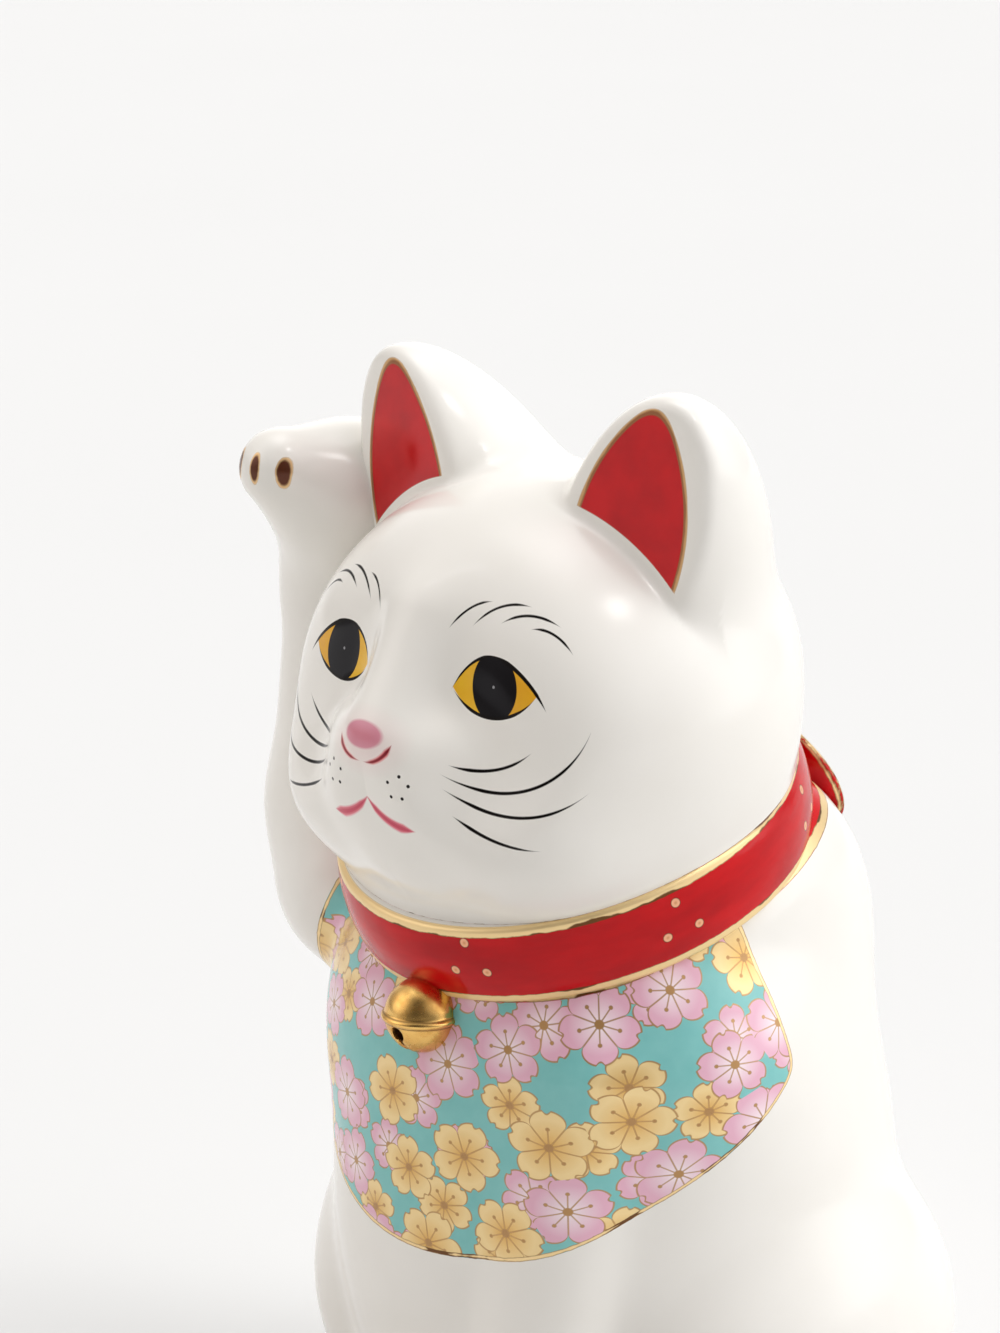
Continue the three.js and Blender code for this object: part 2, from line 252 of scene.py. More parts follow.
def taper(points, start, end, radii):
    """Two balls and the cone that touches both."""
    start, end = np.array(start, float), np.array(end, float)
    bone = end - start
    span = bone @ bone
    fall = radii[0] - radii[1]
    flank = span - fall * fall
    local = points - start
    along = local @ bone
    past = along - span
    side = ((local * span - bone * along[:, None]) ** 2).sum(1)
    limit = np.sign(fall) * fall * fall * side
    near, far = along * along * span, past * past * span
    cone = (np.sqrt(side * flank / span) + along * fall) / span - radii[0]
    start_ball = np.sqrt(side + near) / span - radii[0]
    end_ball = np.sqrt(side + far) / span - radii[1]
    before = np.sign(along) * flank * near < limit
    beyond = np.sign(past) * flank * far > limit
    return np.where(beyond, end_ball, np.where(before, start_ball, cone))


def plane(points, at, normal):
    return (points - np.array(at, float)) @ np.array(normal, float)


def joined(a, b, width):
    """The nearer of two forms, with a fillet between them. The width may vary from point to point."""
    overlap = np.maximum(width - np.abs(a - b), 0) / width
    return np.minimum(a, b) - overlap ** 3 * width / 6


def trimmed(a, b, width):
    return -joined(-a, -b, width)


def both_sides(points):
    folded = points.copy()
    folded[:, 0] = np.abs(folded[:, 0])
    return folded


def lining_axes():
    """The flat front of the left ear: across it, up it, and out of it."""
    inner, outer, tip = (np.array(place, float) for place in (LINING_INNER, LINING_OUTER, LINING_TIP))
    across = (outer - inner) / np.linalg.norm(outer - inner)
    outward = np.cross(outer - inner, tip - inner)
    outward /= np.linalg.norm(outward)
    return across, np.cross(outward, across), outward


def face_form(points, sides):
    lean = math.radians(FACE_LEAN)
    front = plane(points, from_neck(FACE_FRONT_AT), (0, -math.cos(lean), math.sin(lean)))
    face = trimmed(egg(points, from_neck(HEAD_AT), HEAD_RADII, HEAD_TURN), front, WIDTH["front"])
    face = trimmed(face, plane(sides, NECK_MIDDLE, BACK_FACING) - BACK_REACH, WIDTH["back"])
    face = joined(face, egg(sides, from_neck(CHEEK_AT), CHEEK_RADII), WIDTH["cheek"])
    face = joined(face, egg(points, from_neck(MUZZLE_AT), MUZZLE_RADII), WIDTH["muzzle"])
    face = joined(face, egg(sides, from_neck(PAD_AT), PAD_RADII), WIDTH["pad"])
    bridge = taper(points, from_neck(BRIDGE_TOP), from_neck(BRIDGE_TIP), BRIDGE_RADII)
    face = joined(face, bridge, WIDTH["bridge"])
    return trimmed(face, -egg(sides, from_neck(HOLLOW_AT), HOLLOW_RADII), WIDTH["hollow"])


def head_form(points):
    sides = both_sides(points)
    lining = plane(sides, from_neck(LINING_INNER), lining_axes()[2])
    ear = trimmed(egg(sides, from_neck(EAR_AT), EAR_RADII, EAR_TURN), lining, WIDTH["lining"])
    ear_width = np.clip(WIDTH["ear"] - lining, WIDTH["ear"], WIDTH["ear_behind"])
    throat = egg(points, from_neck(THROAT_AT), THROAT_RADII, NECK_TURN)
    return joined(joined(face_form(points, sides), ear, ear_width), throat, WIDTH["throat"])


def arm_form(points):
    bones = [taper(points, from_neck(start), from_neck(end), radii) for start, end, radii in ARM_BONES]
    arm = bones[0]
    for bone in bones[1:]:
        arm = joined(arm, bone, WIDTH["arm_bone"])
    return arm


def body_form(points):
    sides = both_sides(points)
    trunk = egg(points, BELLY_AT, BELLY_RADII)
    for form, name in (
        (egg(sides, from_neck(SHOULDER_AT), SHOULDER_RADII), "shoulder"),
        (egg(points, from_neck(CHEST_AT), CHEST_RADII), "chest"),
        (egg(points, from_neck(NAPE_AT), NAPE_RADII, NAPE_TURN), "nape"),
        (egg(points, SEAT_AT, SEAT_RADII), "seat"),
        (egg(sides, HAUNCH_AT, HAUNCH_RADII), "haunch"),
        (taper(points, FORELEG_TOP, FORELEG_END, FORELEG_RADII), "foreleg"),
        (egg(points, FOREPAW_AT, FOREPAW_RADII), "forepaw"),
        (egg(sides, HIND_FOOT_AT, HIND_FOOT_RADII, HIND_FOOT_TURN), "hind_foot"),
        (taper(points, TAIL_ROOT, TAIL_END, TAIL_RADII), "tail"),
        (egg(points, from_neck(NECK_AT), NECK_RADII, NECK_TURN), "neck"),
        (arm_form(points), "arm"),
    ):
        trunk = joined(trunk, form, WIDTH[name])
    return trimmed(trunk, -points[:, 2], WIDTH["ground"])


def bell_form(points):
    """A round bell with a band about its middle, and a slit below that ends in two holes."""
    local = points - from_neck(BELL_AT)
    reach = np.linalg.norm(local, axis=1)
    level = np.hypot(local[:, 0], local[:, 1])
    band = np.hypot(level - BELL_RADIUS, local[:, 2]) - BELL_BAND
    slit = np.maximum(np.abs(local[:, 0]) - BELL_SLIT, local[:, 2] + BELL_HOLE_DROP)
    hole = np.hypot(local[:, 0], local[:, 2] + BELL_HOLE_DROP) - BELL_HOLE
    cut = np.maximum(np.minimum(slit, hole), BELL_RADIUS - BELL_WALL - reach)
    return trimmed(joined(reach - BELL_RADIUS, band, WIDTH["bell_band"]), -cut, WIDTH["bell_slit"])


def bow_form(points):
    """A knot, two loops and two tails, with folds that run out from the knot."""
    sides = both_sides(points)
    knot = egg(points, from_neck(KNOT_AT), KNOT_RADII, KNOT_TURN)
    spread = sides - from_neck(KNOT_AT)
    angle, reach = np.arctan2(spread[:, 2], spread[:, 0]), np.hypot(spread[:, 0], spread[:, 2])
    fold = BOW_FOLD * np.cos(BOW_FOLDS * angle) * np.exp(-reach / BOW_FOLD_REACH)
    loop = egg(sides, from_neck(BOW_LOOP_AT), BOW_LOOP_RADII, BOW_LOOP_TURN) + fold
    tail = egg(sides, from_neck(BOW_TAIL_AT), BOW_TAIL_RADII, BOW_TAIL_TURN) + fold / 2
    return joined(joined(knot, loop, WIDTH["bow"]), tail, WIDTH["bow"])


# Meshes

def gradient(form, points, step=0.02):
    moves = np.eye(3) * step
    return np.stack([form(points + move) - form(points - move) for move in moves], 1) / (2 * step)


def skin(form, low, high, cell):
    """Quads on the form's zero level, with one corner in each grid cell that it passes through."""
    sides = [np.arange(a, b + cell, cell) for a, b in zip(low, high)]
    grid = np.stack(np.meshgrid(*sides, indexing="ij"), -1)
    shape = grid.shape[:3]
    depth = np.concatenate([form(part) for part in np.array_split(grid.reshape(-1, 3), 16)]).reshape(shape)
    total = np.zeros((*(n - 1 for n in shape), 3))
    count = np.zeros(total.shape[:3])
    crossings = []
    for axis in range(3):
        near = np.delete(depth, -1, axis)
        far = np.delete(depth, 0, axis)
        crossed = (near < 0) != (far < 0)
        share = np.where(crossed, near / np.where(crossed, near - far, 1), 0)
        point = np.delete(grid, -1, axis) + share[..., None] * cell * np.eye(3)[axis]
        others = [other for other in range(3) if other != axis]
        for shift_a in (0, 1):
            for shift_b in (0, 1):
                cut = [slice(None)] * 3
                for other, shift in zip(others, (shift_a, shift_b)):
                    cut[other] = slice(shift, shape[other] - 1 + shift)
                total += np.where(crossed[tuple(cut)][..., None], point[tuple(cut)], 0)
                count += crossed[tuple(cut)]
        crossings.append((axis, others, crossed, near < 0))
    used = count > 0
    number = np.full(count.shape, -1)
    number[used] = np.arange(used.sum())
    corners = total[used] / count[used][:, None]
    quads = []
    for axis, (a, b), crossed, inside in crossings:
        at = np.argwhere(crossed)
        within = np.all([(at[:, side] > 0) & (at[:, side] < shape[side] - 1) for side in (a, b)], 0)
        at = at[within]
        ring = []
        for shift_a, shift_b in ((-1, -1), (0, -1), (0, 0), (-1, 0)):
            place = at.copy()
            place[:, a] += shift_a
            place[:, b] += shift_b
            ring.append(number[tuple(place.T)])
        ring = np.stack(ring, 1)
        flip = inside[tuple(at.T)] == (axis == 1)
        ring[flip] = ring[flip][:, ::-1]
        quads.append(ring)
    quads = np.concatenate(quads)
    return evened(form, corners, quads), quads


def evened(form, corners, quads):
    """Moves the corners towards the middle of their neighbours and back onto the skin."""
    starts, ends = np.concatenate([quads[:, (i, (i + 1) % 4)] for i in range(4)]).T
    count = len(corners)
    degree = np.bincount(starts, minlength=count) + np.bincount(ends, minlength=count)
    for pull in (0.5, 0.5, 0):
        if pull:
            middle = np.stack([
                np.bincount(starts, side[ends], count) + np.bincount(ends, side[starts], count)
                for side in corners.T
            ], 1)
            corners = corners + pull * (middle / degree[:, None] - corners)
        for _ in range(2):
            slope = gradient(form, corners)
            corners = corners - (form(corners) / np.maximum((slope ** 2).sum(1), 1e-6))[:, None] * slope
    return corners


def make_piece(name, corners, faces, material, normals=None):
    mesh = bpy.data.meshes.new(name)
    mesh.from_pydata((corners * MM).tolist(), [], faces.tolist())
    mesh.shade_smooth()
    if normals is not None:
        mesh.normals_split_custom_set_from_vertices(normals.tolist())
    mesh.materials.append(material)
    piece = bpy.data.objects.new(name, mesh)
    bpy.context.scene.collection.objects.link(piece)
    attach(piece, BODY)
    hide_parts(NODE)


def make_skin(name, form, space, cell, material):
    corners, quads = skin(form, *space, cell)
    slope = gradient(form, corners)
    slope /= np.maximum(np.linalg.norm(slope, axis=1), 1e-9)[:, None]
    make_piece(name, corners, quads, material, slope)


def collar_profile():
    """The band's section as radius and height: its back, then its front from the lower edge to the upper."""
    half, edge, step = COLLAR_BAND / 2, COLLAR_EDGE, COLLAR_BACK_STEP
    back = COLLAR_RADIUS - COLLAR_DEPTH
    front = [
        (COLLAR_RADIUS - COLLAR_CROWN * (height / half) ** 2, height)
        for height in np.linspace(edge - half, half - edge, COLLAR_RISE_STEPS)
    ]
    low, high = front[0][0] - edge, front[-1][0] - edge
    turns = np.radians(np.linspace(90, 15, COLLAR_EDGE_STEPS))
    lower = [(low + edge * math.cos(turn), edge - half - edge * math.sin(turn)) for turn in turns]
    upper = [(high + edge * math.cos(turn), half - edge + edge * math.sin(turn)) for turn in turns[::-1]]
    below = [(back, step - half), (back, -half), (back + step, -half)]
    above = [(back + step, half), (back, half), (back, half - step)]
    return below + lower + front + upper + above


def make_collar(material):
    """A band swept round the neck: a crowned front between two rounded edges."""
    profile = collar_profile()
    count = len(profile)
    turns = np.linspace(0, 2 * np.pi, COLLAR_STEPS, endpoint=False)
    ring = np.array([
        (radius * math.cos(turn), radius * COLLAR_STRETCH * math.sin(turn), height)
        for turn in turns for radius, height in profile
    ])
    corners = ring @ turn_matrix((COLLAR_TILT, 0, 0)).T + from_neck(COLLAR_AT)
    i, j = np.meshgrid(np.arange(COLLAR_STEPS), np.arange(count), indexing="ij")
    here, up = i * count + j, i * count + (j + 1) % count
    across = (i + 1) % COLLAR_STEPS * count
    faces = np.stack((here, across + j, across + (j + 1) % count, up), -1).reshape(-1, 4)
    make_piece("cat_collar", corners, faces, material)


# Paint: a number that varies over the surface, where every step of a sum is a node

class Amount:
    def __init__(self, socket):
        self.socket = socket

    def __add__(self, other):
        return math_node("ADD", self, other)

    def __sub__(self, other):
        return math_node("SUBTRACT", self, other)

    def __rsub__(self, other):
        return math_node("SUBTRACT", other, self)

    def __mul__(self, other):
        return math_node("MULTIPLY", self, other)

    def __truediv__(self, other):
        return math_node("DIVIDE", self, other)

    def __neg__(self):
        return math_node("MULTIPLY", self, -1)

    def __abs__(self):
        return math_node("ABSOLUTE", self)

    __radd__ = __add__


def srgb(text):
    """Linear red, green and blue from a colour as it is picked on a screen, such as e1af32."""
    shares = [int(text[i:i + 2], 16) / 255 for i in (0, 2, 4)]
    return [share / 12.92 if share <= 0.04045 else ((share + 0.055) / 1.055) ** 2.4 for share in shares]


def tree_of(values):
    return next(value.socket.id_data for value in values if isinstance(value, Amount))


def plug(socket, value):
    if isinstance(value, Amount):
        value.socket.id_data.links.new(value.socket, socket)
    elif isinstance(value, str):
        socket.default_value = (*srgb(value), 1)
    else:
        socket.default_value = value


def math_node(operation, *values, clamp=False):
    node = tree_of(values).nodes.new("ShaderNodeMath")
    node.operation = operation
    node.use_clamp = clamp
    for socket, value in zip(node.inputs, values):
        plug(socket, value)
    return Amount(node.outputs["Value"])


def vector_node(operation, *values):
    node = tree_of(values).nodes.new("ShaderNodeVectorMath")
    node.operation = operation
    for socket, value in zip(node.inputs, values):
        plug(socket, value)
    number = operation in ("DOT_PRODUCT", "DISTANCE", "LENGTH")
    return Amount(node.outputs["Value" if number else "Vector"])


def vector_of(x, y, z=0.0):
    node = tree_of((x, y)).nodes.new("ShaderNodeCombineXYZ")
    for socket, value in zip(node.inputs, (x, y, z)):
        plug(socket, value)
    return Amount(node.outputs["Vector"])


def parts_of(vector):
    node = tree_of((vector,)).nodes.new("ShaderNodeSeparateXYZ")
    plug(node.inputs["Vector"], vector)
    return [Amount(socket) for socket in node.outputs]


def mirrored(place):
    """The same point on the cat's left side."""
    x, y, z = parts_of(place)
    return vector_of(abs(x), y, z)


def least(*amounts):
    smallest = amounts[0]
    for amount in amounts[1:]:
        smallest = math_node("MINIMUM", smallest, amount)
    return smallest


def most(*amounts):
    largest = amounts[0]
    for amount in amounts[1:]:
        largest = math_node("MAXIMUM", largest, amount)
    return largest


def covered(distance, softness=0.12):
    """1 where the distance is negative, 0 where it is positive, with a soft edge in millimetres."""
    return math_node("MULTIPLY_ADD", distance, -1 / softness, 0.5, clamp=True)


def blend_number(mask, under, over):
    if not isinstance(under, Amount):
        if under == over:
            return under
        return math_node("MULTIPLY_ADD", mask, over - under, under)
    node = tree_of((mask,)).nodes.new("ShaderNodeMix")
    for socket, value in zip((node.inputs[0], node.inputs[2], node.inputs[3]), (mask, under, over)):
        plug(socket, value)
    return Amount(node.outputs[0])


def blend_colour(mask, under, over):
    node = tree_of((mask,)).nodes.new("ShaderNodeMix")
    node.data_type = "RGBA"
    for socket, value in zip((node.inputs[0], node.inputs[6], node.inputs[7]), (mask, under, over)):
        plug(socket, value)
    return Amount(node.outputs[2])


class Finish:
    """The colour, roughness and metal share of one material, painted over layer by layer.

    A metal share in a red or dark paint takes off the white sheen that would make it pale.
    """

    def __init__(self, name, colour, roughness, metal=0.0):
        self.material = bpy.data.materials.new(name)
        self.material.use_nodes = True
        self.nodes = self.material.node_tree.nodes
        self.colour, self.roughness, self.metal = colour, roughness, metal

    def place(self):
        """The point on the piece, in millimetres."""
        coordinates = self.nodes.new("ShaderNodeTexCoord")
        node = self.nodes.new("ShaderNodeVectorMath")
        node.operation = "SCALE"
        node.inputs["Scale"].default_value = 1 / MM
        self.material.node_tree.links.new(coordinates.outputs["Object"], node.inputs[0])
        return Amount(node.outputs["Vector"])

    def clouds(self, at, size, detail):
        """Soft blotches between 0 and 1, of about this size in millimetres."""
        node = self.nodes.new("ShaderNodeTexNoise")
        node.inputs["Scale"].default_value = 1 / size
        node.inputs["Detail"].default_value = detail
        plug(node.inputs["Vector"], at)
        return Amount(node.outputs["Fac"])

    def patches(self, at, size, detail, gain, offset):
        """Clouds with more contrast, which are 0 in some places and 1 in others."""
        return math_node("MULTIPLY_ADD", self.clouds(at, size, detail), gain, offset, clamp=True)

    def wander(self, at, size, reach, detail=3):
        """A number that wanders between -reach and reach."""
        return math_node("MULTIPLY_ADD", self.clouds(at, size, detail), 2 * reach, -reach)

    def paint(self, mask, colour, roughness, metal=0.0):
        self.colour = blend_colour(mask, self.colour, colour)
        self.roughness = blend_number(mask, self.roughness, roughness)
        self.metal = blend_number(mask, self.metal, metal)

    def done(self, ior=1.5, height=None):
        """The finished material. The height is a relief in millimetres."""
        shader = self.nodes["Principled BSDF"]
        shader.inputs["IOR"].default_value = ior
        plug(shader.inputs["Base Color"], self.colour)
        plug(shader.inputs["Roughness"], self.roughness)
        plug(shader.inputs["Metallic"], self.metal)
        if height is not None:
            relief = self.nodes.new("ShaderNodeBump")
            relief.inputs["Strength"].default_value = 1.0
            relief.inputs["Distance"].default_value = MM
            plug(relief.inputs["Height"], height)
            plug(shader.inputs["Normal"], Amount(relief.outputs["Normal"]))
        return self.material


# Brush work

def circle_through(a, b, c):
    """The centre and radius of the circle through three points."""
    matrix = 2 * np.array((b - a, c - a))
    centre = np.linalg.solve(matrix, np.array((b @ b - a @ a, c @ c - a @ a)))
    return centre, math.dist(centre, a)


def disc(at, start, middle, end):
    """Distance to the disc whose rim passes through three points. at is (across, up, 1)."""
    centre, radius = circle_through(*(np.array(point, float) for point in (start, middle, end)))
    return vector_node("DISTANCE", at, (*centre, 1)) - radius


def spot(at, centre, radii):
    """Distance to an oval."""
    ratio = vector_node("DIVIDE", vector_node("SUBTRACT", at, (*centre, 1)), (*radii, 1))
    return math_node("MULTIPLY_ADD", vector_node("LENGTH", ratio), min(radii), -min(radii))


def stroke(at, start, middle, end, width, swell=0.0):
    """Distance to a brush stroke on the arc through three points. A swell makes it wider at its start."""
    start, middle, end = (np.array(point, float) for point in (start, middle, end))
    centre, radius = circle_through(start, middle, end)
    chord = end - start
    span = chord @ chord
    bulge = np.array((-chord[1], chord[0])) / math.sqrt(span)
    bulge *= math.copysign(1, (middle - start) @ bulge)
    along = vector_node("DOT_PRODUCT", at, (*(chord / span), -(chord @ start) / span))
    behind = vector_node("DOT_PRODUCT", at, (*-bulge, bulge @ start - width - 0.4))
    reach = abs(vector_node("DISTANCE", at, (*centre, 1)) - radius)
    ends = least(along * math_node("MULTIPLY_ADD", along, -6, 6), 1)
    half = most(math_node("MULTIPLY_ADD", along, -width * swell, width * (1 + swell) / 2), 0.01)
    return most(reach - half * ends, behind)


# Finishes

def glaze(finish, place):
    """White glaze with faint clouds in its colour and its gloss."""
    finish.paint(finish.clouds(place, size=26, detail=3), GLAZE_SHADE, GLAZE_ROUGH + 0.05)


def glaze_relief(finish, place):
    return finish.clouds(place, size=17, detail=1) * GLAZE_RELIEF


def enamel(finish, place):
    """Red enamel, darker where the brush left it thick."""
    streaks = finish.patches(place, size=5, detail=4, gain=3, offset=-1.1)
    finish.paint(streaks * 0.7, RED_SHADE, RED_ROUGH + 0.06)


def gild(finish, place, distance):
    """Gold brushed on where the distance is negative. Its edge wanders, and brown painted dark reflection lies
    along its edge and spreads in patches.
    """
    edge = distance + finish.wander(place, size=2.2, reach=0.25)
    # Painted dark reflection: brown along the gold's edge, wider in patches where the gold is held back
    finish.paint(covered(edge), GOLD_DARK_REFLECTION, GOLD_ROUGH, GOLD_EDGE_METAL)
    thick = math_node("MULTIPLY_ADD", finish.clouds(place, size=11, detail=3), 5, -2.6)
    finish.paint(covered(edge + most(thick, 0.1), softness=0.25), GOLD, GOLD_ROUGH, GOLD_METAL)


def collar_frame(place):
    """Where a point is: sideways and backwards in the collar's plane, above it, and out past the band."""
    x, y, z = parts_of(vector_node("SUBTRACT", place, tuple(from_neck(COLLAR_AT))))
    lean = math.radians(COLLAR_TILT)
    level = (y * math.cos(lean) + z * math.sin(lean)) / COLLAR_STRETCH
    height = z * math.cos(lean) - y * math.sin(lean)
    return x, level, height, vector_node("LENGTH", vector_of(x, level)) - COLLAR_RADIUS


def collar_edges(height):
    """Distance to the gold along the upper and the lower edge of the collar."""
    half = COLLAR_BAND / 2
    return least(half - COLLAR_TOP_GOLD - height, height + half - COLLAR_LOW_GOLD)


def collar_over(finish, place):
    """The collar's paint, where the head or the shoulders swell out past the band."""
    x, _, height, out = collar_frame(place)
    band = most(abs(height) - COLLAR_BAND / 2, out - COLLAR_OVERLAP, COLLAR_ARM_SIDE - x)
    finish.paint(covered(band), RED, RED_ROUGH)
    gild(finish, place, most(collar_edges(height), band))


def nose_paint(finish, at):
    """A pink nose in a faint blush, with brushed nostrils and a brushed mouth."""
    blush = covered(spot(at, BLUSH_AT, BLUSH_RADII), softness=5)
    nose = covered(spot(at, NOSE_AT, NOSE_RADII), softness=0.5)
    shade = covered(spot(at, NOSE_SHADE_AT, NOSE_SHADE_RADII), softness=1.6)
    finish.paint(blush * 0.3, BLUSH, PINK_ROUGH)
    finish.paint(nose, NOSE, PINK_ROUGH)
    finish.paint(shade * 0.6, NOSE_SHADE, PINK_ROUGH)
    for width, colour, softness in NOSTRIL_STROKES:
        nostril = stroke(at, *NOSTRIL, width, swell=0.3)
        finish.paint(covered(nostril, softness), colour, INK_ROUGH, metal=0.2)
    for width, colour, softness in MOUTH_STROKES:
        mouth = stroke(at, *MOUTH, width, swell=-0.35)
        finish.paint(covered(mouth, softness), colour, INK_ROUGH)


def eye_paint(finish, place, at, across):
    """A yellow eye, darker towards its outer corner, with a black pupil between dark lids."""
    upper = most(disc(at, LID_INNER, LID_RISE, LID_TOP), disc(at, LID_TOP, LID_FALL, LID_TAIL))
    eye = most(upper, disc(at, LID_INNER, LID_LOW, LID_OUTER))
    pupil = spot(at, PUPIL_AT, PUPIL_RADII)
    finish.paint(covered(eye), EYE, INK_ROUGH)
    cloudy = finish.patches(place, size=3.5, detail=3, gain=1.6, offset=-0.5)
    finish.paint(covered(eye) * cloudy * 0.6, EYE_SHADE, INK_ROUGH)
    finish.paint(covered(most(eye, EYE_SIDE_FROM - across)) * 0.5, EYE_SIDE, INK_ROUGH)
    finish.paint(covered(most(pupil, eye)), PUPIL, PUPIL_ROUGH, INK_METAL)
    finish.paint(covered(spot(at, PUPIL_AT, GLINT_RADII)), PUPIL_GLINT, PUPIL_ROUGH)
    lids = least(
        stroke(at, LID_INNER, LID_RISE, LID_TOP, width=0.5, swell=-0.4),
        stroke(at, LID_TOP, LID_FALL, LID_TAIL, width=0.75, swell=0.2),
        stroke(at, LOWER_LID_START, LID_LOW, LID_OUTER, width=0.6),
    )
    finish.paint(covered(lids), INK, INK_ROUGH, INK_METAL)


def face_paint(finish, place):
    """Nose, mouth, eyes, brows and whiskers, the same on both sides of the face."""
    x, y, z = parts_of(vector_node("SUBTRACT", place, tuple(from_neck(HEAD_AT))))
    across = math_node("ARCTAN2", abs(x), -y) * FACE_WRAP
    at = vector_of(across, z, 1.0)
    nose_paint(finish, at)
    eye_paint(finish, place, at, across)
    brows = least(*(stroke(at, *arc, BROW_WIDTH) for arc in BROWS))
    whiskers = least(*(stroke(at, *arc, WHISKER_WIDTH, swell=0.2) for arc in WHISKERS))
    finish.paint(covered(least(brows, whiskers), softness=0.17), INK, INK_ROUGH, INK_METAL)
    dots = least(*(vector_node("DISTANCE", at, (*centre, 1)) for centre in WHISKER_DOTS))
    finish.paint(covered(dots - WHISKER_DOT_RADIUS), INK, INK_ROUGH, INK_METAL)


def ear_paint(finish, place):
    """Red linings with a thin line of brown gold round all but their foot."""
    local = vector_node("SUBTRACT", mirrored(place), tuple(from_neck(LINING_INNER)))
    across, up, out = (vector_node("DOT_PRODUCT", local, tuple(axis)) for axis in lining_axes())
    at = vector_of(across, up, 1.0)
    sides = math_node("SMOOTH_MAX", disc(at, *LINING_INNER_SIDE), disc(at, *LINING_OUTER_SIDE), LINING_ROUND)
    flat = most(-disc(at, *LINING_LOWER_SIDE), abs(out) - LINING_REACH, LINING_FOOT - up)
    wander = finish.wander(place, size=6, reach=0.45)
    gold = most(sides - LINING_EDGE + wander * 0.4, flat)
    brown = most(sides - LINING_EDGE * 0.55 - wander, flat)
    finish.paint(covered(gold, softness=0.2), LINING_GOLD, GOLD_ROUGH, GOLD_EDGE_METAL)
    finish.paint(covered(brown, softness=0.3), LINING_GOLD_SHADE, GOLD_ROUGH, GOLD_EDGE_METAL)
    red = covered(most(sides, flat), softness=0.2)
    brushed = finish.patches(place, size=7, detail=3, gain=2.4, offset=-0.8)
    finish.paint(red, RED, RED_ROUGH, LINING_METAL)
    finish.paint(red * brushed * 0.6, RED_SHADE, RED_ROUGH, LINING_METAL)


def head_finish():
    finish = Finish("painted_porcelain", GLAZE, GLAZE_ROUGH)
    place = finish.place()
    glaze(finish, place)
    face_paint(finish, place)
    ear_paint(finish, place)
    collar_over(finish, place)
    return finish.done(GLAZE_IOR, glaze_relief(finish, place))


def blossoms(finish, at, mask, spacing, radius, turn, share, gilt_share):
    """Five-petalled blossoms in a share of the squares of a turned grid, some pink and some gilt."""
    cosine, sine = math.cos(math.radians(turn)), math.sin(math.radians(turn))
    grid_across = vector_node("DOT_PRODUCT", at, (cosine, sine, 0))
    grid_up = vector_node("DOT_PRODUCT", at, (-sine, cosine, 0))
    grid = vector_of(grid_across, grid_up)
    cells = finish.nodes.new("ShaderNodeTexVoronoi")
    cells.voronoi_dimensions = "2D"
    cells.inputs["Scale"].default_value = 1 / spacing
    cells.inputs["Randomness"].default_value = 0.3
    plug(cells.inputs["Vector"], grid)
    across, up, _ = parts_of(vector_node("SUBTRACT", grid, Amount(cells.outputs["Position"])))
    chance, kind, size = parts_of(Amount(cells.outputs["Color"]))
    reach = vector_node("LENGTH", vector_of(across, up))
    angle = math_node("ARCTAN2", up, across) * (PETALS / 2) + chance * 6
    petal, gap = abs(math_node("COSINE", angle)), abs(math_node("SINE", angle))
    full = math_node("MULTIPLY_ADD", size, 0.14 * radius, 0.86 * radius)
    notch = math_node("MULTIPLY_ADD", petal, 25, -24.2, clamp=True)
    inside = reach - full * (math_node("POWER", petal, 0.45) * 0.42 + 0.58 - notch * 0.12)
    shown = covered(kind - share, softness=0.01) * mask
    shape = covered(inside) * shown
    gilt = covered(kind - share * gilt_share, softness=0.01)
    heart = math_node("MULTIPLY_ADD", reach / full, -1.5, 1.15, clamp=True)
    finish.paint(shape, PETAL, roughness=0.14)
    finish.paint(shape * heart, PETAL_HEART, roughness=0.14)
    finish.paint(shape * gilt, GILT_PETAL, roughness=0.2, metal=0.15)
    finish.paint(shape * gilt * heart, GILT_HEART, roughness=0.2, metal=0.3)
    from_gap, from_middle = petal * reach * (2 / PETALS), gap * reach * (2 / PETALS)
    seam = most(from_gap - SEAM_HALF, inside)
    stamen = most(from_middle - STAMEN_HALF, reach - full * STAMEN_REACH)
    anther = vector_node("LENGTH", vector_of(reach - full * STAMEN_REACH, from_middle)) - ANTHER_RADIUS
    lines = least(abs(inside) - PETAL_EDGE_HALF, seam, stamen, anther, reach - BLOSSOM_EYE_RADIUS)
    finish.paint(covered(lines, softness=0.15) * shown, BLOSSOM_LINE, roughness=0.3, metal=0.3)


def bib_paint(finish, place):
    """A turquoise bib of cherry blossom over the chest, edged with gold."""
    x, y, z = parts_of(place)
    around = math_node("ARCTAN2", x, BIB_AXIS - y) * BIB_WRAP
    side_back, side_up = BIB_SIDE_AT
    side = y - side_back - math_node("MULTIPLY_ADD", z, -BIB_SIDE_SLOPE, side_up * BIB_SIDE_SLOPE)
    low = BIB_LOW + around * around * BIB_LOW_RISE - z
    arm = vector_node("DOT_PRODUCT", vector_node("SUBTRACT", place, BIB_ARM_AT), BIB_ARM_FACING)
    bib = most(math_node("SMOOTH_MAX", side, low, BIB_ROUND), arm, z - BIB_TOP)
    inside = covered(bib)
    finish.paint(inside, BIB_BLUE, roughness=0.12)
    finish.paint(inside * finish.clouds(place, size=4, detail=3), BIB_BLUE_SHADE, roughness=0.16)
    at = vector_of(around, z)
    for layer in BLOSSOM_LAYERS:
        blossoms(finish, at, inside, *layer)
    gild(finish, place, abs(bib + BIB_EDGE / 2) - BIB_EDGE / 2)


